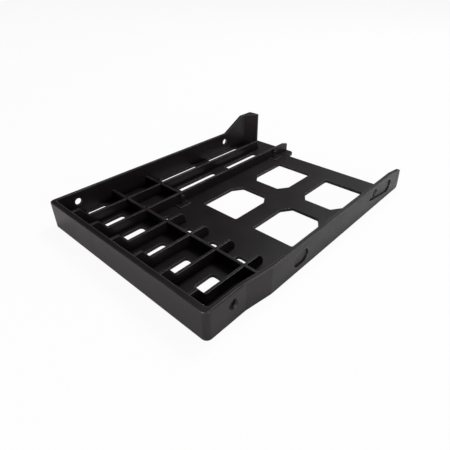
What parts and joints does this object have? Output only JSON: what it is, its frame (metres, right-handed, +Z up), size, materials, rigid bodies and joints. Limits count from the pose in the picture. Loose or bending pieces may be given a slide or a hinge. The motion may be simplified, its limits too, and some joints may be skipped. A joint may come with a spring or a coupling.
{
  "type": "hard drive tray",
  "caption": "Low black moulded tray with a ribbed front, windowed floor and raised rear lug, which holds a small hard drive in the bay of a large one.",
  "frame": {"origin": "on the underside, under the middle of the tray's bounding box", "axes": "+Y from the closed front wall to the open rear end, +X to the wall with the recesses, +Z up from the floor"},
  "size_m": [0.102, 0.1428, 0.0204],
  "materials": {
    "black_plastic": "satin black moulded plastic with a fine grain"
  },
  "bodies": {
    "root": {"drive_tray": "black_plastic"}
  },
  "joints": []
}
